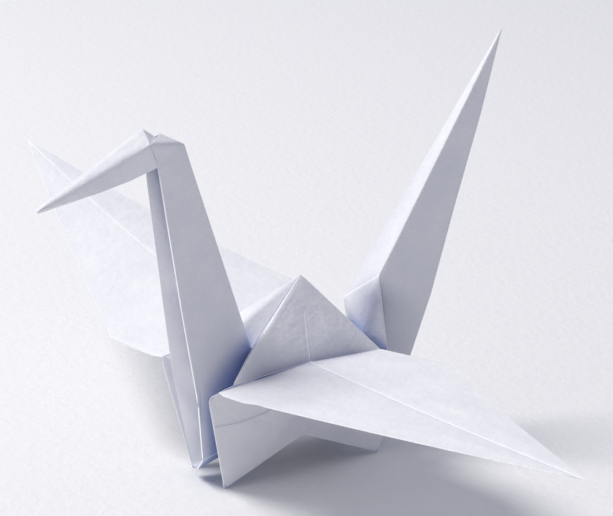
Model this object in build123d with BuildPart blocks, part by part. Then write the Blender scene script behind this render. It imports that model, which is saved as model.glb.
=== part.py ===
from build123d import *
import os

# An origami crane: one square sheet, folded and never cut, so it is one solid.
# +X points towards the tail, -X towards the beak, and the wings reach along -Y and +Y.
# Z = 0 is the plane that the four points of the belly stand on.
# Every flat facet is modelled on its middle surface and given the thickness of the
# layers of paper that lie pressed together there. Folds are rounded beads along the edges.

# ---- Driving dimensions, in millimetres and degrees ----
paper = 0.10  # one layer of the sheet
wing_layers = 2
hump_layers = 2
lining_layers = 2  # gussets and the inner sides of the belly
belly_layers = 4
leg_layers = 4  # each half of the neck, beak and tail
bead = 0.62  # radius of a fold, as a share of its wall

# The hump, puffed open over the belly
fold_height = 19.4  # of the fold where hump and wing meet
fold_half_gap = 7.8  # from the middle plane to that fold
root_front = 13.7  # from the hump's middle to the front end of the fold
root_back = 12.9
peak_height = 31.3  # of the middle of the sheet, at the top of the hump
peak_back = 2.5  # how far the peak leans towards the tail
front_valley = 6.0  # where the gusset in front reaches the middle plane
back_valley = 14.8
valley_height = 19.0

# The belly's two sides, each standing on two points
breast_reach = 19.0  # front and back top corners
breast_height = 17.3
foot_front = 13.9
foot_back = 15.8
foot_half_gap = 4.8
crotch_height = 6.8  # of the notch in the lower edge

# The neck, open in front, with its closed edge towards the hump
neck_lean = 20.4  # from upright
neck_top = 55.9
neck_crotch = 1.2  # how far in front of the hump's middle the neck turns up
neck_foot_reach = 16.9
neck_foot_height = 5.6
neck_foot_half_gap = 3.0
heel_reach = 15.9  # the lowest point, where the two halves meet
heel_height = 1.8
cheek_reach = 24.9  # top of each open edge
cheek_height = 53.5
cheek_half_gap = 1.4

# The head and beak, a slim closed pocket
crown_reach = 26.6
crown_height = 59.2
brow_reach = 26.2  # the widest place of the pocket
brow_height = 57.0
brow_half_gap = 1.3
beak_reach = 44.3
beak_height = 49.0

# The tail, open behind, its two halves spread unevenly
tail_lean = 29.8
tail_top = 67.1
tail_crotch = 5.3
tail_foot_reach = 18.3
tail_foot_height = 4.3
tail_foot_half_gap = 3.6
squash_height = 28.5  # where the closed edge of the tail is pressed flat
squash_near = (17.1, -4.0, 17.8)  # lower corners of the pressed facet
squash_far = (16.9, 8.4, 22.2)

# The wings
wing_length = 71.4  # from the fold to the tip, along the middle crease
wing_rise_near = 7.0  # the wing's slope, above level
wing_rise_far = 10.9
wing_sweep = 3.1  # how far the tips point forward
wing_root_front = 16.7  # the root runs on past the hump's front corner
shoulder_out = 14.0  # from the fold to the widest place of the wing
shoulder_front = 18.2
shoulder_back = 16.4
shoulder_droop_near = 0.0  # how far the front shoulder hangs below the middle crease's slope
shoulder_droop_far = 3.9


# ---- Points ----
def at_lean(foot, lean, height):
    """The point at this height on an edge that leans from upright, in the middle plane."""
    way = Vector(0, 0, 1).rotate(Axis.Y, lean)
    return foot + way * ((height - foot.Z) / way.Z)


def point(x, side, half_gap, z):
    """A point on one side of the crane; side is -1 or 1."""
    return Vector(x, side * half_gap, z)


peak = Vector(peak_back, 0, peak_height)
valley_front = Vector(-front_valley, 0, valley_height)
valley_back = Vector(back_valley, 0, valley_height)
neck_fork = Vector(-neck_crotch, 0, crotch_height)
tail_fork = Vector(tail_crotch, 0, crotch_height)
nape = at_lean(neck_fork, -neck_lean, neck_top)
heel = Vector(-heel_reach, 0, heel_height)
crown = Vector(-crown_reach, 0, crown_height)
beak_tip = Vector(-beak_reach, 0, beak_height)
tail_tip = at_lean(tail_fork, tail_lean, tail_top)
squash_top = at_lean(tail_fork, tail_lean, squash_height)


# ---- Facets and folds ----
def facet(corners, layers):
    """A flat facet with these corners, as thick as the layers pressed together in it."""
    first, second, last = corners[0], corners[1], corners[-1]
    normal = (second - first).cross(last - first).normalized()
    place = Plane(origin=first, x_dir=(second - first).normalized(), z_dir=normal)
    outline = [place.to_local_coords(corner) for corner in corners]
    with BuildSketch(place) as shape:
        with BuildLine():
            Polyline([(corner.X, corner.Y) for corner in outline], close=True)
        make_face()
    extrude(shape.sketch, amount=layers * paper / 2, both=True)


def fold(start, end, layers):
    """The rounded bead along a fold."""
    with BuildSketch(Plane(origin=start, z_dir=(end - start).normalized())) as section:
        Circle(bead * layers * paper)
    extrude(section.sketch, amount=(end - start).length)


def hump(fold_front, fold_back):
    facet([peak, fold_front, fold_back], hump_layers)
    facet([peak, fold_front, valley_front], lining_layers)
    facet([peak, fold_back, valley_back], lining_layers)
    for end in (fold_front, fold_back):
        fold(peak, end, hump_layers)


def belly(side, fold_front, fold_back):
    """One outer side, from the wing's fold down to its two feet, and its lining."""
    slope = (fold_half_gap - foot_half_gap) / fold_height
    breast_gap = foot_half_gap + slope * breast_height
    foot_a = point(-foot_front, side, foot_half_gap, 0)
    foot_b = point(foot_back, side, foot_half_gap, 0)
    crotch = point(0, side, foot_half_gap + slope * crotch_height, crotch_height)
    breast = point(-breast_reach, side, breast_gap, breast_height)
    rump = point(breast_reach, side, breast_gap, breast_height)
    facet([foot_a, crotch, foot_b, rump, fold_back, fold_front, breast], belly_layers)
    ends = (
        (fold_front, breast, foot_a, neck_fork, valley_front),
        (fold_back, rump, foot_b, tail_fork, valley_back),
    )
    for top, outer, foot, fork, valley in ends:
        facet([top, outer, valley], lining_layers)
        facet([outer, foot, valley], lining_layers)
        facet([foot, fork, valley], lining_layers)
        fold(outer, foot, belly_layers)
        fold(top, outer, belly_layers)
    return breast


def wing(side, rise, droop, fold_front, fold_back, breast):
    """Two halves that meet at the crease down the wing's middle."""
    root = point((root_back - root_front) / 2, side, fold_half_gap, fold_height)
    out = Vector(0, side, 0).rotate(Axis.X, side * rise).rotate(Axis.Z, side * wing_sweep)
    tip = root + out * wing_length
    widest = root + out * shoulder_out
    front = widest + Vector(-shoulder_front, 0, -droop)
    back = widest + Vector(shoulder_back, 0, 0)
    along_ridge = (fold_front.X + wing_root_front) / (fold_front.X - breast.X)
    front_root = fold_front + (breast - fold_front) * along_ridge
    facet([root, tip, front], wing_layers)
    facet([root, front, front_root], wing_layers)
    facet([root, front_root, fold_front], wing_layers)
    facet([root, tip, back, fold_back], wing_layers)
    fold(root, tip, wing_layers)
    fold(front_root, front, wing_layers)


def neck_half(side):
    neck_foot = point(-neck_foot_reach, side, neck_foot_half_gap, neck_foot_height)
    cheek = point(-cheek_reach, side, cheek_half_gap, cheek_height)
    brow = point(-brow_reach, side, brow_half_gap, brow_height)
    facet([nape, neck_fork, neck_foot], leg_layers)
    facet([neck_fork, heel, neck_foot], leg_layers)
    facet([nape, neck_foot, cheek], leg_layers)
    facet([nape, cheek, brow], leg_layers)
    facet([nape, brow, crown], leg_layers)
    facet([beak_tip, crown, brow], leg_layers)
    facet([beak_tip, brow, cheek], leg_layers)


def tail_half(side, squash_low):
    """On the near side the outer fold runs down from the squash, on the far side from the tip."""
    tail_foot = point(tail_foot_reach, side, tail_foot_half_gap, tail_foot_height)
    if side < 0:
        facet([tail_tip, squash_top, tail_foot], leg_layers)
        facet([squash_top, squash_low, tail_foot], leg_layers)
    else:
        facet([tail_tip, squash_top, squash_low], leg_layers)
        facet([tail_tip, squash_low, tail_foot], leg_layers)
    facet([squash_top, squash_low, valley_back], leg_layers)
    facet([squash_low, tail_foot, valley_back], leg_layers)
    facet([valley_back, tail_foot, tail_fork], leg_layers)


with BuildPart() as folded_sheet:
    sides = (
        (-1, wing_rise_near, shoulder_droop_near, Vector(*squash_near)),
        (1, wing_rise_far, shoulder_droop_far, Vector(*squash_far)),
    )
    for side, rise, droop, squash_low in sides:
        fold_front = point(-root_front, side, fold_half_gap, fold_height)
        fold_back = point(root_back, side, fold_half_gap, fold_height)
        hump(fold_front, fold_back)
        fold(fold_front, fold_back, hump_layers)
        breast = belly(side, fold_front, fold_back)
        wing(side, rise, droop, fold_front, fold_back, breast)
        neck_half(side)
        tail_half(side, squash_low)
    fold(nape, neck_fork, leg_layers)
    fold(neck_fork, heel, leg_layers)
    fold(nape, crown, leg_layers)
    fold(crown, beak_tip, leg_layers)
    fold(tail_tip, squash_top, leg_layers)

folded_sheet.part.label = "folded_sheet"
os.makedirs("parts", exist_ok=True)
export_step(folded_sheet.part, "parts/folded_sheet.step")
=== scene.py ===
# %% [markdown]
# # A folded paper crane
# The crane is one square sheet of white paper, folded and never cut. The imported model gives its
# place and size, and this file gives it its looks: paper, light, floor and camera.

# %% Load the frame
import math
import bmesh
import bpy
from mathutils import Matrix, Vector, geometry, kdtree, noise


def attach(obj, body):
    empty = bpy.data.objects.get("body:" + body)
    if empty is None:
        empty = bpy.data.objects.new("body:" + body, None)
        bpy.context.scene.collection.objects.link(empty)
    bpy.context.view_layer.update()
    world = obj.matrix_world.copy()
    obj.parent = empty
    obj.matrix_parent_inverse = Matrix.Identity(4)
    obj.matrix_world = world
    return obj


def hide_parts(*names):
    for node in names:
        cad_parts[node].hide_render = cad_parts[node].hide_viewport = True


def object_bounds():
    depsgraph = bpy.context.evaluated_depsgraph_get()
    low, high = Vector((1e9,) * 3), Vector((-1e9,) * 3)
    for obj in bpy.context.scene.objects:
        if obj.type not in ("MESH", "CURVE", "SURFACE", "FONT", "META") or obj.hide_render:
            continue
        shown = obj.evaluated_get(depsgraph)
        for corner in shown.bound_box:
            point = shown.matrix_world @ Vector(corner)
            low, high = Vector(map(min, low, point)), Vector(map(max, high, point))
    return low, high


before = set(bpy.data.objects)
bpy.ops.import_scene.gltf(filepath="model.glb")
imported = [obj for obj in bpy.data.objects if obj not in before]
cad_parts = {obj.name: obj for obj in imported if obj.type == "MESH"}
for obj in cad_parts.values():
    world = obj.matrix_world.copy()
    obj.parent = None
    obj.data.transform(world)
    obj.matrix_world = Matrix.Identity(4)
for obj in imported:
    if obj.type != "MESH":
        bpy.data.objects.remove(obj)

cad_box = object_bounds()
print("packed nodes:", list(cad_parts), "in a box, in metres:", cad_box)

# %% [markdown]
# ## Camera
# A long lens from far away keeps the folds nearly parallel, as they look on a real paper model.
# The camera could be placed by coordinates alone, but the angle that it looks from is easier to
# read and to change. So it is placed by that angle, and turned a little about its own axis.

# %% Camera
VIEW_AZIMUTH = math.radians(-34.56)
VIEW_ELEVATION = math.radians(19.46)
VIEW_ROLL = math.radians(2.14)
VIEW_DISTANCE = 0.4176
AIM = Vector((0, 0, 0.02895))
AIM_RIGHT = 0.00291
AIM_UP = 0.0053
LENS = 156.3


def make_camera():
    back = Vector((
        math.sin(VIEW_AZIMUTH) * math.cos(VIEW_ELEVATION),
        -math.cos(VIEW_AZIMUTH) * math.cos(VIEW_ELEVATION),
        math.sin(VIEW_ELEVATION),
    ))
    right = Vector((math.cos(VIEW_AZIMUTH), math.sin(VIEW_AZIMUTH), 0))
    up = back.cross(right)
    place = AIM + right * AIM_RIGHT + up * AIM_UP + back * VIEW_DISTANCE
    turn = Matrix((right, up, back)).transposed() @ Matrix.Rotation(VIEW_ROLL, 3, "Z")
    lens = bpy.data.cameras.new("camera")
    lens.lens = LENS
    lens.sensor_width = 36
    lens.clip_start = 0.01
    camera = bpy.data.objects.new("camera", lens)
    camera.matrix_world = Matrix.Translation(place) @ turn.to_4x4()
    bpy.context.collection.objects.link(camera)
    bpy.context.scene.camera = camera
    return camera


print("camera at", make_camera().location)

# %% [markdown]
# ## Where the folds meet
# A folded model is known by the corners where its folds meet. They are written in millimetres,
# the way a maker would measure them, and turned into metres. X runs towards the tail, Z is 0 at
# the points that the belly stands on, and side -1 is the near side, side 1 the far.

# %% Ways to place a corner
MM = 0.001
NEAR, FAR = -1, 1
SIDES = (NEAR, FAR)
FOLD_HEIGHT, FOLD_HALF_GAP = 19.4, 7.8  # the fold where hump and wing meet
FOOT_HALF_GAP = 4.8
BELLY_SLOPE = (FOLD_HALF_GAP - FOOT_HALF_GAP) / FOLD_HEIGHT
CROTCH_HEIGHT = 6.8  # the notch in the belly, where neck and tail fork off too


def at(x, y, z):
    return Vector((x, y, z)) * MM


def on_side(side, x, half_gap, z):
    return at(x, side * half_gap, z)


def belly_point(side, x, z):
    """A point on the slanting outer side of the belly."""
    return on_side(side, x, FOOT_HALF_GAP + BELLY_SLOPE * z, z)


def along_lean(x, degrees, height):
    """The point at this height on an edge that leans from upright in the middle plane."""
    return at(x + math.tan(math.radians(degrees)) * (height - CROTCH_HEIGHT), 0, height)


def between(start, end, share):
    return start.lerp(end, share)


print("the belly's sides slant by", round(math.degrees(math.atan(BELLY_SLOPE)), 1), "degrees")

# %% Corners in the middle plane
NECK_FORK_X, NECK_LEAN, NECK_TOP = -1.2, -20.4, 55.9
TAIL_FORK_X, TAIL_LEAN, TAIL_TOP = 5.3, 29.8, 67.1
SQUASH_HEIGHT = 28.5  # where the tail's closed edge is pressed flat
PEAK = at(2.5, 0, 31.3)
VALLEY_FRONT = at(-6.2, 0, 20.3)
VALLEY_BACK = at(14.8, 0, 19.0)
LINING_FRONT = at(-5.0, 0, 9.5)
LINING_BACK = at(9.0, 0, 9.5)
NECK_FORK = at(NECK_FORK_X, 0, CROTCH_HEIGHT)
TAIL_FORK = at(TAIL_FORK_X, 0, CROTCH_HEIGHT)
NAPE = along_lean(NECK_FORK_X, NECK_LEAN, NECK_TOP)
HEEL = at(-15.85, 0, 1.8)
TAIL_TIP = along_lean(TAIL_FORK_X, TAIL_LEAN, TAIL_TOP)
SQUASH_TOP = along_lean(TAIL_FORK_X, TAIL_LEAN, SQUASH_HEIGHT)
print("peak", PEAK, "nape", NAPE, "tail tip", TAIL_TIP)

# %% Corners at the sides
FOLD_FRONT = {
    NEAR: on_side(NEAR, -14.5, FOLD_HALF_GAP, 18.6),
    FAR: on_side(FAR, -13.7, FOLD_HALF_GAP, FOLD_HEIGHT),
}
FOLD_BACK = {side: on_side(side, 12.9, FOLD_HALF_GAP, FOLD_HEIGHT) for side in SIDES}
WING_ROOT = {side: on_side(side, -0.4, FOLD_HALF_GAP, FOLD_HEIGHT + 0.35) for side in SIDES}
BREAST = {NEAR: belly_point(NEAR, -19.0, 17.3), FAR: belly_point(FAR, -18.4, 18.6)}
RUMP = {side: belly_point(side, 19.0, 17.3) for side in SIDES}
FOOT_FRONT = {side: belly_point(side, -13.9, 0) for side in SIDES}
FOOT_BACK = {side: belly_point(side, 15.8, 0) for side in SIDES}
print("the near side stands on", FOOT_FRONT[NEAR], "and", FOOT_BACK[NEAR])

# %% [markdown]
# ## Folding a sheet
# Each part of the crane is a stretch of the same sheet. It starts as a few flat facets between
# fold corners, welded where they meet. They could stay flat, but real paper is never quite flat:
# it bows between its folds and its folds are round. So the facets are divided into a fine
# grid, moved a little, and their folds are bevelled.

# %% Lay facets and weld them
WELD = 1e-6  # metres


def lay_facets(facets):
    sheet = bmesh.new()
    for corners in facets:
        sheet.faces.new([sheet.verts.new(corner) for corner in corners])
    bmesh.ops.remove_doubles(sheet, verts=sheet.verts, dist=WELD)
    bmesh.ops.recalc_face_normals(sheet, faces=sheet.faces)
    return sheet


print("corners closer than", WELD, "metres are welded")

# %% Find the folds of a sheet
FOLD_ANGLE = math.radians(6)
SLACK = 0.001  # how far past a line's ends, as a share, a point still counts as on it


def fold_lines(sheet):
    """The ends of every line where two facets meet at an angle."""
    bent = [e for e in sheet.edges if e.is_manifold and e.calc_face_angle() > FOLD_ANGLE]
    return [tuple(v.co.copy() for v in edge.verts) for edge in bent]


def on_line(point, line):
    start, end = line
    nearest, share = geometry.intersect_point_line(point, start, end)
    return -SLACK < share < 1 + SLACK and (point - nearest).length < 4 * WELD


def edges_on(sheet, lines):
    """The edges of a divided sheet that lie along these lines."""
    picked = []
    for edge in sheet.edges:
        first, second = (v.co for v in edge.verts)
        if any(on_line(first, line) and on_line(second, line) for line in lines):
            picked.append(edge)
    return picked


def distance_to(point, line):
    """How far a point is from a line, and how far along the line its nearest point is."""
    start, end = line
    nearest, share = geometry.intersect_point_line(point, start, end)
    if share < 0:
        return (point - start).length, 0.0
    if share > 1:
        return (point - end).length, 1.0
    return (point - nearest).length, share


print("facets that meet at over", round(math.degrees(FOLD_ANGLE)), "degrees meet in a fold")

# %% [markdown]
# ## Paper between the folds
# A fold and a cut edge hold the paper still, and the paper between them is free to bow. Moving
# every point at random would make it look crumpled, so the waves are long, and they fade to
# nothing at the folds. A fold that was only rubbed, not pressed, is smoothed away.

# %% Bow the paper between its folds
FREE_REACH = 5  # from a fold to where the paper is fully free
LONG_WAVE, SHORT_WAVE = 90, 260  # waves for each metre
SHORT_SHARE = 0.35


def hold_weights(sheet, held):
    """How free each vertex is: 0 on a held vertex, rising to 1 well away from all of them."""
    tree = kdtree.KDTree(len(held))
    for index, vert in enumerate(held):
        tree.insert(vert.co, index)
    tree.balance()
    weights = []
    for vert in sheet.verts:
        share = min(1.0, tree.find(vert.co)[2] / (FREE_REACH * MM))
        weights.append(share * share * (3 - 2 * share))
    return weights


def relax_paper(sheet, held, puff, waviness, seed):
    """Push the free paper out by a soft puff and a few long waves."""
    weights = hold_weights(sheet, held)
    sheet.normal_update()
    offset = Vector((seed, 2 * seed, 3 * seed))
    moves = []
    for vert, weight in zip(sheet.verts, weights):
        long_wave = noise.noise(vert.co * LONG_WAVE + offset)
        short_wave = noise.noise(vert.co * SHORT_WAVE + offset)
        height = puff + waviness * (long_wave + SHORT_SHARE * short_wave)
        moves.append(vert.normal * (height * weight * MM))
    for vert, move in zip(sheet.verts, moves):
        vert.co += move


print("paper is free to bow", FREE_REACH, "mm away from a fold")

# %% Rub a fold soft
RUBS = 8


def soften(sheet, lines, folds, reach):
    """Smooth the paper close to these lines, but leave the sharp folds."""
    sharp = {v for edge in folds for v in edge.verts}
    near = [
        v for v in sheet.verts
        if not v.is_boundary and v not in sharp
        and any(distance_to(v.co, line)[0] < reach * MM for line in lines)
    ]
    for _ in range(RUBS):
        bmesh.ops.smooth_vert(
            sheet, verts=near, factor=0.5, use_axis_x=True, use_axis_y=True, use_axis_z=True,
        )


print("a soft fold is rubbed", RUBS, "times")

# %% [markdown]
# ## Folds
# On real paper the fibres along a fold are broken, so it catches the light, and deep between two
# folds the paper is dim. Both could be painted by hand. Here each vertex gets two numbers, "fold"
# and a painted shade mask, while the sheet is still made of known lines, and the paper's material
# reads them: the fold is whitened, partly as wear and partly as a painted highlight, and the inner
# folds are darkened with painted shade.

# %% Round the folds
RIDGE = 0.1
RIDGE_REACH = 0.6  # from a crease to where its ridge ends
FADE = 2.5  # how soon a shade reaches its strength from the end where it fades out


def round_folds(sheet, folds, radius, clamp):
    """Bevel the fold lines, and write 1 in the fold attribute along their middles."""
    mask = sheet.verts.layers.float.new("fold")
    made = bmesh.ops.bevel(
        sheet, geom=folds, offset=radius * MM, offset_type="OFFSET", segments=4, profile=0.5,
        affect="EDGES", material=-1, clamp_overlap=clamp,
    )
    strip = set(made["faces"])
    for vert in made["verts"]:
        if vert.is_valid and all(face in strip for face in vert.link_faces):
            vert[mask] = 1.0


def raise_creases(sheet, creases):
    """A crease that was once pressed the other way still stands up as a fine ridge."""
    mask = sheet.verts.layers.float["fold"]
    for vert in sheet.verts:
        if vert[mask] and any(distance_to(vert.co, line)[0] < RIDGE_REACH * MM for line in creases):
            vert.co.z += RIDGE * MM


def mark_painted_shade(sheet, shades, reach):
    """Write painted shade: how much light an inner fold would keep from each vertex. A shade is a
    line's start and end, where it fades out, and its strength."""
    painted_shade_mask = sheet.verts.layers.float.new("painted_shade_mask")
    for vert in sheet.verts:
        for start, end, strength in shades:
            away, share = distance_to(vert.co, (start, end))
            painted_shade = strength * math.exp(-away / (reach * MM)) * min(1.0, FADE * (1 - share))
            vert[painted_shade_mask] = min(1.0, max(vert[painted_shade_mask], painted_shade))


print("an old crease stands up by", RIDGE, "mm")

# %% [markdown]
# ## Thickness
# Real layers lie so close that only their cut edges show. So a sheet is modelled as one surface
# and Solidify gives it the thickness of all its layers. A small bevel rounds the cut edge.

# %% Thickness of the layers
PAPER = 0.10
RIM_SHARE = 0.3  # of the thickness that is rounded at a cut edge
RIM_ANGLE = math.radians(60)


def add_finish(piece, layers):
    wall = piece.modifiers.new("layers", "SOLIDIFY")
    wall.thickness = layers * PAPER * MM
    wall.offset = 0
    wall.use_even_offset = False
    wall.thickness_clamp = 1.0
    wall.material_offset_rim = 1
    rim = piece.modifiers.new("rounded rim", "BEVEL")
    rim.width = RIM_SHARE * layers * PAPER * MM
    rim.segments = 2
    rim.limit_method = "ANGLE"
    rim.angle_limit = RIM_ANGLE
    rim.harden_normals = False
    shade = piece.modifiers.new("even shading", "WEIGHTED_NORMAL")
    shade.keep_sharp = False


print("one layer of paper is", PAPER, "mm")

# %% Fold a piece
SHEETS = []
FOLD_RADIUS = 0.22


def fold_piece(name, facets, layers, cuts, waviness, seed, radius=FOLD_RADIUS, clamp=True, puff=0.0,
               creases=(), soft=(), soft_reach=1.0, painted_shade=(), painted_shade_reach=1.0, bend=None):
    """One stretch of the sheet, from its flat facets to its finished object."""
    sheet = lay_facets(facets)
    lines = [
        line for line in fold_lines(sheet) + list(creases)
        if not any(on_line(line[0], kept) and on_line(line[1], kept) for kept in soft)
    ]
    bmesh.ops.subdivide_edges(sheet, edges=sheet.edges, cuts=cuts, use_grid_fill=True)
    folds = edges_on(sheet, lines)
    soften(sheet, soft, folds, soft_reach)
    mark_painted_shade(sheet, painted_shade, painted_shade_reach)
    held = {v for edge in folds for v in edge.verts} | {v for v in sheet.verts if v.is_boundary}
    relax_paper(sheet, list(held), puff, waviness, seed)
    round_folds(sheet, folds, radius, clamp)
    raise_creases(sheet, creases)
    if bend:
        for vert in sheet.verts:
            vert.co += bend(vert.co)
    for face in sheet.faces:
        face.smooth = True
    mesh = bpy.data.meshes.new(name)
    sheet.to_mesh(mesh)
    sheet.free()
    piece = bpy.data.objects.new(name, mesh)
    bpy.context.collection.objects.link(piece)
    add_finish(piece, layers)
    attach(piece, "root")
    SHEETS.append(piece)
    print(name, "has", len(mesh.vertices), "vertices before its thickness")
    return piece


print("a fold is rounded by up to", FOLD_RADIUS, "mm")

# %% [markdown]
# ## Hump and wings
# The middle of the sheet stands up as a hump, and each wing runs on from the hump's side
# through one sharp fold. They could be three objects, but they are one stretch of paper and the
# folds between them show, so they are laid as one sheet.

# %% Corners of the wings
WING_LENGTH = 71.4
WING_SWEEP = math.radians(3.1)
WING_RISE = {NEAR: math.radians(7.0), FAR: math.radians(10.9)}
SHOULDER_OUT = 14.0  # from the fold to the widest place of the wing
SHOULDER_FRONT, SHOULDER_BACK = 18.2, 16.4
SHOULDER_DROOP = {NEAR: -0.2, FAR: 3.9}
ROOT_SHARE = {NEAR: 0.57, FAR: 0.96}  # how far the root runs on towards the breast
SAG = {NEAR: 0.3, FAR: 1.6}


def wing_way(side):
    """The way a wing's middle crease points."""
    rise = Matrix.Rotation(side * WING_RISE[side], 3, "X")
    sweep = Matrix.Rotation(side * WING_SWEEP, 3, "Z")
    return sweep @ rise @ Vector((0, side, 0))


def wing_corners(side):
    """The tip, the two shoulders, and the front end of the root."""
    way = wing_way(side) * MM
    tip = WING_ROOT[side] + way * WING_LENGTH
    widest = WING_ROOT[side] + way * SHOULDER_OUT
    front = widest + at(-SHOULDER_FRONT, 0, -SHOULDER_DROOP[side])
    back = widest + at(SHOULDER_BACK, 0, 0)
    return tip, front, back, between(FOLD_FRONT[side], BREAST[side], ROOT_SHARE[side])


def wing_sag(point):
    """A wing hangs a little between its root and its tip."""
    side = NEAR if point.y < 0 else FAR
    share = (abs(point.y) / MM - FOLD_HALF_GAP) / WING_LENGTH
    if share <= 0:
        return Vector()
    return at(0, 0, -SAG[side] * math.sin(math.pi * min(share, 1.0)))


print("near wing tip", wing_corners(NEAR)[0], "far wing tip", wing_corners(FAR)[0])

# %% Facets of the hump and wings
GUSSET_PUFF = {NEAR: 0.2, FAR: 1.0}
LIP_START, LIP_END = 0.15, 0.7  # shares of a wing's front edge
LIP_DROP_START, LIP_DROP_END = 0.3, 0.35


def gusset(side):
    """The paper in front of the hump's corner: its three corners and its puffed-out middle."""
    corners = (PEAK, FOLD_FRONT[side], VALLEY_FRONT)
    middle = sum(corners, Vector()) / 3
    out = (corners[1] - PEAK).cross(VALLEY_FRONT - PEAK).normalized() * side
    return corners, middle + out * GUSSET_PUFF[side] * MM


def hump_facets(side):
    front, back, root = FOLD_FRONT[side], FOLD_BACK[side], WING_ROOT[side]
    corners, middle = gusset(side)
    facets = [(PEAK, front, root), (PEAK, root, back), (PEAK, back, VALLEY_BACK)]
    return facets + [(corners[index - 1], corners[index], middle) for index in range(3)]


def lip(side, share, drop):
    """A point on the narrow lip that hangs along a wing's front edge."""
    _, front, _, front_root = wing_corners(side)
    return between(front_root, front, share) + at(-0.1, side * 0.05, -drop)


def wing_facets(side):
    """Both halves of a wing, and its lip."""
    tip, front, back, front_root = wing_corners(side)
    root = WING_ROOT[side]
    lip_start, lip_end = lip(side, LIP_START, LIP_DROP_START), lip(side, LIP_END, LIP_DROP_END)
    return [
        (root, tip, front), (root, front, front_root), (root, front_root, FOLD_FRONT[side]),
        (root, tip, back), (root, back, FOLD_BACK[side]),
        (front_root, lip_start, front), (lip_start, lip_end, front),
    ]


print("each side has", len(hump_facets(NEAR)) + len(wing_facets(NEAR)), "facets of hump and wing")

# %% Hump and wings
HUMP_CREASE = 0.62  # how far up the hump its old middle crease can be seen
old_creases = [(WING_ROOT[side], wing_corners(side)[0]) for side in SIDES]
old_creases += [(WING_ROOT[side], FOLD_FRONT[side]) for side in SIDES]
old_creases += [(WING_ROOT[side], between(WING_ROOT[side], PEAK, HUMP_CREASE)) for side in SIDES]
hump_and_wings = fold_piece(
    "hump_and_wings", [f for side in SIDES for f in hump_facets(side) + wing_facets(side)],
    layers=2, cuts=30, waviness=0.18, seed=3, puff=0.12, creases=old_creases, bend=wing_sag,
    soft=[(corner, gusset(side)[1]) for side in SIDES for corner in gusset(side)[0]],
    soft_reach=2.0,
    # painted shade along the folds where the hump meets each wing
    painted_shade=[(WING_ROOT[side], end[side], 1.2) for side in SIDES for end in (FOLD_FRONT, FOLD_BACK)],
    painted_shade_reach=1.6,
)
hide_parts("folded_sheet")

# %% [markdown]
# ## Belly
# Under each wing hangs a flat side of several layers, which stands on two points. Its ends are
# lined: the paper turns in round the edge and runs back to the middle. So many layers can't make
# a sharp corner, and each upper corner is blunt.

# %% Belly
BLUNT_ABOVE, BLUNT_BELOW = 0.13, 0.05  # shares of the edges that meet in the corner


def blunt(top, corner, foot):
    """The two points that take the place of a corner."""
    return between(corner, top, BLUNT_ABOVE), between(corner, foot, BLUNT_BELOW)


def belly_ends(side):
    """The corners of the front and the back end of one side."""
    return (
        (FOLD_FRONT[side], BREAST[side], FOOT_FRONT[side], NECK_FORK, LINING_FRONT, VALLEY_FRONT),
        (FOLD_BACK[side], RUMP[side], FOOT_BACK[side], TAIL_FORK, LINING_BACK, VALLEY_BACK),
    )


def belly_facets(side):
    crotch = belly_point(side, 0, CROTCH_HEIGHT)
    facets = [(FOLD_FRONT[side], crotch, FOLD_BACK[side])]
    for top, corner, foot, fork, inner, valley in belly_ends(side):
        shoulder, edge = blunt(top, corner, foot)
        facets += [(top, crotch, shoulder), (shoulder, crotch, edge), (edge, crotch, foot)]
        facets += [(top, shoulder, inner), (shoulder, edge, inner), (edge, foot, inner)]
        facets += [(foot, fork, inner), (top, valley, inner)]
    return facets


def lining_lines(side):
    """The lines from a blunt corner to the middle, where the lining bends without a crease."""
    ends = belly_ends(side)
    return [(point, end[4]) for end in ends for point in blunt(*end[:3])]


for side, name in ((NEAR, "belly_near"), (FAR, "belly_far")):
    fold_piece(
        name, belly_facets(side), layers=3, cuts=14, waviness=0.08, seed=5 + side,
        radius=0.28, clamp=False, soft=lining_lines(side),
        # painted shade from the neck and tail forks up to the lining, inside the belly's ends
        painted_shade=[(NECK_FORK, LINING_FRONT, 1.0), (TAIL_FORK, LINING_BACK, 1.0)], painted_shade_reach=4.0,
    )

# %% [markdown]
# ## Belly flaps
# The uppermost layer of each side ends in a shallow curve across the front of the belly. A dark
# line on the belly would show it too, but a thin sheet of its own has a real edge from all sides.
# Along that edge the flap also gets a thin band of painted shade.

# %% Belly flaps
FLAP_OUT = 0.2
FLAP_BACK = at(0.25, 0, 0)  # keeps the flap inside the belly's front edge
FLAP_START = 0.32  # how far down the belly's front edge the curve starts
FLAP_CURVE = ((-12.5, 11.65), (-8.1, 12.3), (-4.5, 13.6))
# strength of the painted shade along the flap's curved edge
FLAP_SHADE = 0.75


def flap_facets(side):
    """A fan of coplanar facets between the curve and the top of the belly."""
    out = at(0, side * FLAP_OUT, 0)
    shoulder, edge = blunt(FOLD_FRONT[side], BREAST[side], FOOT_FRONT[side])
    top = belly_point(side, FOLD_FRONT[side].x / MM, FOLD_FRONT[side].z / MM - 0.3) + out
    start = between(BREAST[side], FOOT_FRONT[side], FLAP_START) + out + FLAP_BACK
    edge += out + FLAP_BACK
    shoulder = between(shoulder, FOOT_BACK[side], 0.012) + out
    middle, late, end = (belly_point(side, x, z) + out for x, z in FLAP_CURVE)
    return [
        (start, middle, edge), (edge, middle, shoulder), (middle, top, shoulder),
        (middle, late, top), (late, end, top),
    ]


for side, name in ((NEAR, "belly_flap_near"), (FAR, "belly_flap_far")):
    facets = flap_facets(side)
    edge = [facets[0][0], facets[0][1], facets[3][1], facets[4][1]]
    fold_piece(
        name, facets, layers=1, cuts=18, waviness=0.0, seed=21 + side, painted_shade_reach=0.22,
        painted_shade=[(start, between(start, end, 1.7), FLAP_SHADE) for start, end in zip(edge, edge[1:])],
    )
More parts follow.
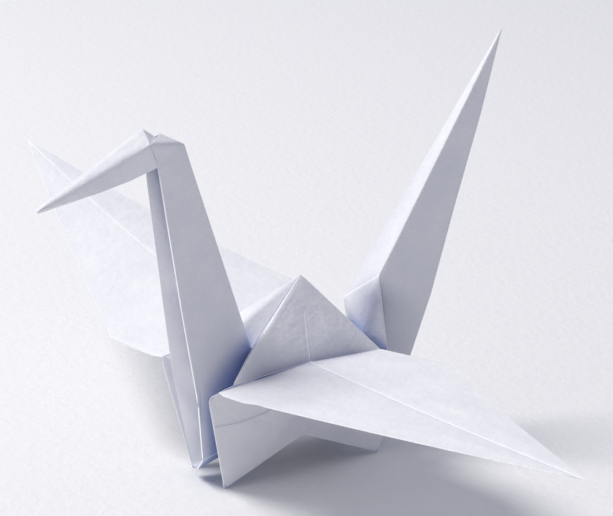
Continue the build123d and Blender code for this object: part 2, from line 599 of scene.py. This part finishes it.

# %% [markdown]
# ## Neck
# The neck is a slim trough of pressed layers. Its closed edge faces the hump and its open edge
# faces forwards. There the front fold of its far half is turned in, until it almost meets the
# near half, and only a narrow slot is left, darkened further by painted shade. The tuck is a sheet
# of its own.

# %% Neck
TOP = at(-23.0, 1.2, 57.7)
NECK_EDGE = {
    NEAR: [at(-26.75, -2.25, 57.3), at(-24.7, -1.15, 53.5), at(-20.6, -1.95, 30.3),
           at(-17.5, -2.5, 14.2), at(-16.7, -3.0, 4.7)],
    FAR: [at(-25.6, 1.5, 56.4), at(-25.1, 1.5, 51.0), at(-21.1, 2.3, 29.0),
          at(-18.8, 2.7, 16.6), at(-15.4, 2.1, 1.9)],
}


def neck_facets(side):
    """One half of the neck, from its open edge back to the spine."""
    brow, cheek, upper, knee, foot = NECK_EDGE[side]
    return [
        (NAPE, NECK_FORK, foot), (NECK_FORK, HEEL, foot), (NAPE, foot, knee),
        (NAPE, knee, upper), (NAPE, upper, cheek), (NAPE, cheek, brow), (NAPE, brow, TOP),
    ]


fold_piece(
    "neck", neck_facets(NEAR) + neck_facets(FAR), layers=3, cuts=12, waviness=0.12, seed=8,
    puff=0.1, soft=[(NAPE, NECK_EDGE[side][index]) for side in SIDES for index in range(4)],
)

# %% Neck tuck
SLOT = [point + at(2.2, 1.2, 0.0) for point in NECK_EDGE[NEAR]]
# strength of the painted shade along the slot and down past its foot
SLOT_SHADE = 0.9
DEEP_END = SLOT[4] + at(0, 0, -8)


def tuck_facets():
    """The far half's front fold, turned in until it almost meets the near half."""
    edge = NECK_EDGE[FAR]
    facets = []
    for index in range(4):
        facets.append((edge[index], edge[index + 1], SLOT[index + 1]))
        facets.append((edge[index], SLOT[index + 1], SLOT[index]))
    return facets + [(edge[4], HEEL, SLOT[4])]


def tuck_lines():
    """The lines across the tuck, which is one curved surface and has no folds of its own."""
    edge = NECK_EDGE[FAR]
    across = [(edge[index], SLOT[index]) for index in range(5)]
    return across + [(edge[index], SLOT[index + 1]) for index in range(4)]


slot_lines = list(zip(SLOT, SLOT[1:]))
slot_lines += [(SLOT[4], DEEP_END), (HEEL, between(SLOT[4], SLOT[3], 0.9))]
fold_piece(
    "neck_tuck", tuck_facets(), layers=2, cuts=12, waviness=0.05, seed=9, radius=0.15,
    soft=tuck_lines(), painted_shade=[(start, end, SLOT_SHADE) for start, end in slot_lines],
    painted_shade_reach=2.6,
)

# %% [markdown]
# ## Head
# The top of the neck is turned down inside itself, and makes a slim closed beak. The back edge
# of that pocket stands a little off the neck, so the fold shows as a bright line.

# %% Head
CROWN = at(-26.4, 0.6, 59.05)
BROW = at(-26.8, -2.35, 57.35)
BEAK_TOP = at(-44.3, 0.15, 49.4)
BEAK_SIDE = at(-44.6, -0.35, 49.1)
BEAK_LOW = at(-44.2, 0.0, 48.7)


def head_facets():
    """The pocket's top, its near side with a low belly, and its flat far side."""
    cheek, far_cheek = at(-25.1, -1.75, 53.5), at(-25.4, 1.75, 53.3)
    low, middle = at(-35.0, -1.1, 50.7), at(-29.6, -1.5, 52.0)
    hood = at(-23.3, 1.0, 56.9)
    return [
        (BEAK_SIDE, BEAK_TOP, CROWN), (BEAK_SIDE, CROWN, BROW), (BEAK_SIDE, BROW, low),
        (BEAK_SIDE, low, BEAK_LOW), (BROW, middle, low), (BROW, cheek, middle),
        (BEAK_SIDE, BEAK_LOW, BEAK_TOP), (CROWN, hood, BROW),
        (BEAK_TOP, far_cheek, CROWN), (BEAK_TOP, BEAK_LOW, far_cheek), (CROWN, far_cheek, hood),
    ]


fold_piece(
    "head", head_facets(), layers=2, cuts=9, waviness=0.05, seed=11, radius=0.14,
    soft=[(BEAK_SIDE, BROW)], soft_reach=0.6,
)

# %% [markdown]
# ## Tail
# The tail is a trough like the neck, open behind. Low on its closed edge the paper is pressed
# flat into a small facet, and its two halves are spread unevenly.

# %% Tail
TAIL_FOOT = {side: on_side(side, 18.3, 3.6, 4.3) for side in SIDES}
SQUASH_LOW = {NEAR: at(17.1, -4.0, 17.8), FAR: at(16.9, 8.4, 22.2)}


def tail_facets(side):
    """One half of the tail. The open edge of the near half bows outwards."""
    low, foot = SQUASH_LOW[side], TAIL_FOOT[side]
    if side == NEAR:
        bows = [at(35.9, -0.8, 53.5), at(30.9, -1.7, 38.7), at(26.3, -2.7, 24.7), foot]
        blade = [(SQUASH_TOP, start, end) for start, end in zip(bows, bows[1:])]
        blade += [(TAIL_TIP, SQUASH_TOP, bows[0]), (SQUASH_TOP, low, foot)]
    else:
        blade = [(TAIL_TIP, SQUASH_TOP, low), (TAIL_TIP, low, foot)]
    return blade + [
        (SQUASH_TOP, low, VALLEY_BACK), (low, foot, VALLEY_BACK), (VALLEY_BACK, foot, TAIL_FORK),
    ]


# Painted shade: on the pressed facet at the tail's root, and lightly on the far half from its low
# corner to the tip.
tail_root_shade = (VALLEY_BACK, SQUASH_TOP, 1.3)
far_edge_shade = (between(SQUASH_LOW[FAR], TAIL_TIP, -0.5), TAIL_TIP, 0.3)
fold_piece(
    "tail", tail_facets(NEAR) + tail_facets(FAR), layers=3, cuts=22, waviness=0.14, seed=13,
    radius=0.24,
    soft=[(VALLEY_BACK, corner) for corner in (SQUASH_TOP, SQUASH_LOW[NEAR], SQUASH_LOW[FAR])],
    soft_reach=1.6, painted_shade=[tail_root_shade, far_edge_shade], painted_shade_reach=4.0,
)

# %% [markdown]
# ## Floor
# The crane stands on a wide, plain, pale board. The board gets light and shade of its own from
# the same lamps, and painted shade darkens it close under the crane, so the crane seems to stand
# on it and not to float.

# %% Floor
bpy.ops.mesh.primitive_plane_add(size=4, location=(0, 0, cad_box[0][2]))
floor = bpy.context.object
floor.name = "floor"
print("floor at height", floor.location.z)

# %% [markdown]
# ## Paper
# The paper is white with a faint blue, soft and dull. Close up it has a fine grain, cloudy
# patches where the fibres lie thicker, and folds that catch more light because the fibres there
# are broken; their whiter colour is partly wear and partly a painted highlight. A picture of
# paper would repeat, so the grain is made of noise. The grain, the painted shade and the wear
# with its painted highlight are node groups, so that every paper can use them.

# %% Helpers for node groups
WHITE = (1, 1, 1, 1)


def new_group(name, inputs, outputs):
    group = bpy.data.node_groups.new(name, "ShaderNodeTree")
    for label, kind, value in inputs:
        socket = group.interface.new_socket(label, in_out="INPUT", socket_type=kind)
        socket.default_value = value
    for label, kind in outputs:
        group.interface.new_socket(label, in_out="OUTPUT", socket_type=kind)
    return group, group.nodes.new("NodeGroupInput"), group.nodes.new("NodeGroupOutput")


def add_node(tree, kind, **settings):
    """A node with these settings, each of them an input's value or a property."""
    node = tree.nodes.new(kind)
    for name, value in settings.items():
        if name in node.inputs:
            node.inputs[name].default_value = value
        else:
            setattr(node, name, value)
    return node


def join(tree, node, sources):
    """Set each of these sockets of a node, by its name or number, to a value or to an output."""
    for socket, source in sources.items():
        if isinstance(source, (int, float, tuple)):
            node.inputs[socket].default_value = source
        else:
            tree.links.new(source, node.inputs[socket])


def add_math(tree, operation, first, second):
    node = add_node(tree, "ShaderNodeMath", operation=operation)
    join(tree, node, {0: first, 1: second})
    return node.outputs[0]


def add_mix(tree, factor, first, second):
    """Mix two colours. The colour sockets of a Mix node are its seventh and eighth."""
    node = add_node(tree, "ShaderNodeMix", data_type="RGBA")
    join(tree, node, {0: factor, 6: first, 7: second})
    return node.outputs[2]


print("helpers for nodes are ready")

# %% Grain of the paper
def make_grain():
    """Cloudy patches and flecks of a second colour, a dull roughness and a fine relief."""
    tree, given, out = new_group(
        "paper grain",
        [("Color", "NodeSocketColor", WHITE), ("Cloud Color", "NodeSocketColor", WHITE),
         ("Cloud Scale", "NodeSocketFloat", 190.0), ("Fibre Scale", "NodeSocketFloat", 1500.0)],
        [("Color", "NodeSocketColor"), ("Roughness", "NodeSocketFloat"),
         ("Height", "NodeSocketFloat")],
    )
    where = tree.nodes.new("ShaderNodeTexCoord").outputs["Object"]
    cloud = add_node(tree, "ShaderNodeTexNoise", Detail=4.0, Roughness=0.6)
    fibre = add_node(tree, "ShaderNodeTexNoise", Detail=6.0, Roughness=0.7, Distortion=0.6)
    dent = add_node(tree, "ShaderNodeTexNoise", Scale=620.0, Detail=3.0, Roughness=0.55)
    join(tree, dent, {"Vector": where})
    join(tree, cloud, {"Vector": where, "Scale": given.outputs["Cloud Scale"]})
    join(tree, fibre, {"Vector": where, "Scale": given.outputs["Fibre Scale"]})
    patch = add_node(tree, "ShaderNodeMapRange", **{"From Min": 0.35, "From Max": 0.7})
    join(tree, patch, {"Value": cloud.outputs[0]})
    clouded = add_mix(tree, patch.outputs[0], given.outputs["Color"], given.outputs["Cloud Color"])
    fleck = add_node(
        tree, "ShaderNodeMapRange", **{"From Min": 0.3, "From Max": 0.75, "To Max": 0.5})
    join(tree, fleck, {"Value": dent.outputs[0]})
    flecked = add_mix(tree, fleck.outputs[0], clouded, given.outputs["Cloud Color"])
    rough = add_math(tree, "ADD", add_math(tree, "MULTIPLY", fibre.outputs[0], 0.3), 0.55)
    height = add_math(tree, "ADD", add_math(tree, "MULTIPLY", fibre.outputs[0], 0.4),
                      add_math(tree, "MULTIPLY", dent.outputs[0], 1.6))
    join(tree, out, {"Color": flecked, "Roughness": rough, "Height": height})
    return tree


GRAIN = make_grain()
print("node group:", GRAIN.name)

# %% Painted shade between layers
def make_shade():
    """Painted shade: a cool tint in the colour deep between layers, where light has only bounced
    from sheet to sheet.
    """
    tree, given, out = new_group(
        "layer shadow",
        [("Color", "NodeSocketColor", WHITE), ("Painted Shade Color", "NodeSocketColor", WHITE),
         ("Reach", "NodeSocketFloat", 0.009)],
        [("Color", "NodeSocketColor")],
    )
    open_sky = add_node(tree, "ShaderNodeAmbientOcclusion", samples=16)
    join(tree, open_sky, {"Distance": given.outputs["Reach"]})
    ramp = add_node(tree, "ShaderNodeMapRange", interpolation_type="SMOOTHSTEP",
                    **{"From Min": 0.05, "From Max": 0.58})
    join(tree, ramp, {"Value": open_sky.outputs["AO"]})
    tinted = add_mix(tree, ramp.outputs[0], given.outputs["Painted Shade Color"], given.outputs["Color"])
    join(tree, out, {"Color": tinted})
    return tree


SHADE = make_shade()
print("node group:", SHADE.name)

# %% Wear and painted highlight along the folds
def make_wear_and_highlight():
    """Broken, whiter fibres wherever Fold is high, in patches, and a painted highlight with them.
    """
    tree, given, out = new_group(
        "fold wear and highlight",
        [("Color", "NodeSocketColor", WHITE), ("Wear Highlight Color", "NodeSocketColor", WHITE),
         ("Fold", "NodeSocketFloat", 0.0), ("Amount", "NodeSocketFloat", 0.8)],
        [("Color", "NodeSocketColor")],
    )
    where = tree.nodes.new("ShaderNodeTexCoord").outputs["Object"]
    broken = add_node(tree, "ShaderNodeTexNoise", Scale=400.0, Detail=3.0)
    join(tree, broken, {"Vector": where})
    patchy = add_math(tree, "ADD", add_math(tree, "MULTIPLY", broken.outputs[0], 0.6), 0.6)
    mask = add_math(tree, "MULTIPLY", given.outputs["Fold"], given.outputs["Amount"])
    mask = add_math(tree, "MULTIPLY", mask, patchy)
    mask = add_math(tree, "MINIMUM", mask, 1.0)
    wear_highlight_color = add_mix(tree, mask, given.outputs["Color"], given.outputs["Wear Highlight Color"])
    join(tree, out, {"Color": wear_highlight_color})
    return tree


WEAR_AND_HIGHLIGHT = make_wear_and_highlight()
print("node group:", WEAR_AND_HIGHLIGHT.name)

# %% Recipe for a paper
# Colours of painted shade: deep between layers, and in the inner folds that the sheets mark, with
# how much of the latter is mixed in.
COOL_PAINTED_SHADE = (0.24, 0.33, 0.62, 1)
PAINTED_FOLD_SHADE = (0.27, 0.29, 0.4, 1)
PAINTED_FOLD_SHARE = 0.75


def make_paper(name, color, cloud, wear_highlight_color, amount, fold=None, painted_shade=COOL_PAINTED_SHADE):
    """A paper with painted shade in its inner folds and deep between layers, and folds that wear
    and get a painted highlight by this amount, where the fold attribute or a fixed value says.
    """
    material = bpy.data.materials.new(name)
    material.use_nodes = True
    tree = material.node_tree
    shader = tree.nodes["Principled BSDF"]
    shader.inputs["Specular IOR Level"].default_value = 0.3
    shader.inputs["Sheen Weight"].default_value = 0.08
    shader.inputs["Sheen Roughness"].default_value = 0.6
    grain = add_node(tree, "ShaderNodeGroup", node_tree=GRAIN)
    join(tree, grain, {"Color": color, "Cloud Color": cloud})
    # painted shade in the inner folds, from the mask that the sheets carry
    inner = add_node(tree, "ShaderNodeAttribute", attribute_name="painted_shade_mask")
    dimmed = add_math(tree, "MULTIPLY", inner.outputs["Fac"], PAINTED_FOLD_SHARE)
    with_fold_shade = add_mix(tree, dimmed, grain.outputs["Color"], PAINTED_FOLD_SHADE)
    shade = add_node(tree, "ShaderNodeGroup", node_tree=SHADE)
    join(tree, shade, {"Color": with_fold_shade, "Painted Shade Color": painted_shade})
    if fold is None:
        fold = add_node(tree, "ShaderNodeAttribute", attribute_name="fold").outputs["Fac"]
    # Wear and painted highlight go on last, so the folds stay light even inside painted shade.
    wear_and_highlight = add_node(tree, "ShaderNodeGroup", node_tree=WEAR_AND_HIGHLIGHT)
    join(tree, wear_and_highlight, {
        "Color": shade.outputs["Color"], "Wear Highlight Color": wear_highlight_color, "Amount": amount, "Fold": fold,
    })
    relief = add_node(tree, "ShaderNodeBump", Strength=0.6, Distance=0.00018)
    join(tree, relief, {"Height": grain.outputs["Height"]})
    join(tree, shader, {
        "Base Color": wear_and_highlight.outputs["Color"], "Roughness": grain.outputs["Roughness"],
        "Normal": relief.outputs["Normal"],
    })
    return material


# the tint in the inner folds is painted shade
print("paper is tinted by", PAINTED_FOLD_SHARE, "in its inner folds")

# %% White paper, its cut edge and the floor board
white_paper = make_paper(
    "white_paper", color=(0.80, 0.80, 0.82, 1), cloud=(0.745, 0.745, 0.79, 1), wear_highlight_color=WHITE,
    amount=1.2,
)
# The cut edge is a lighter copy of the paper, whitened all over at 0.8: partly the whiter fibres at
# the edge, partly a painted highlight.
paper_edge = make_paper(
    "paper_edge", color=(0.88, 0.88, 0.9, 1), cloud=(0.84, 0.84, 0.88, 1),
    wear_highlight_color=(0.97, 0.97, 0.98, 1), amount=0.9, fold=0.8,
)
# The floor's deep colour is painted shadow, where the crane stands close over the board.
floor_board = make_paper(
    "floor_board", color=(0.82, 0.82, 0.82, 1), cloud=(0.81, 0.81, 0.815, 1),
    wear_highlight_color=(0.9, 0.9, 0.9, 1), amount=0.0, fold=0.0, painted_shade=(0.55, 0.56, 0.6, 1),
)
for piece in SHEETS:
    piece.data.materials.append(white_paper)
    piece.data.materials.append(paper_edge)
floor.data.materials.append(floor_board)
print("papers:", white_paper.name, paper_edge.name, floor_board.name, "on", len(SHEETS), "sheets")

# %% [markdown]
# ## Light
# A large soft light high behind the crane brightens all that faces up, a smaller one low in
# front of the beak catches the edges and the gusset, and a pale blue sky fills the shadows.
# One lamp alone would leave the folds that face the viewer grey and flat.

# %% Light
SKY = (0.84, 0.855, 1.0, 1)
SKY_STRENGTH = 0.49
LOOK_AT = Vector((0, 0, 0.03))


def add_light(name, place, size, energy, color):
    """A round soft lamp that faces the crane."""
    lamp = bpy.data.lights.new(name, "AREA")
    lamp.shape = "DISK"
    lamp.size = size
    lamp.energy = energy
    lamp.color = color
    light = bpy.data.objects.new(name, lamp)
    light.location = place
    light.rotation_euler = (LOOK_AT - Vector(place)).to_track_quat("-Z", "Y").to_euler()
    bpy.context.collection.objects.link(light)


world = bpy.data.worlds.new("studio")
world.use_nodes = True
sky = world.node_tree.nodes["Background"]
sky.inputs["Color"].default_value = SKY
sky.inputs["Strength"].default_value = SKY_STRENGTH
bpy.context.scene.world = world
add_light("key", place=(-0.42, 0.40, 0.85), size=0.45, energy=8.4, color=(1.0, 0.99, 0.955))
add_light("front_glow", place=(-0.80, -0.02, 0.20), size=0.20, energy=0.6, color=(1.0, 0.99, 0.98))
bpy.context.scene.view_settings.view_transform = "Standard"
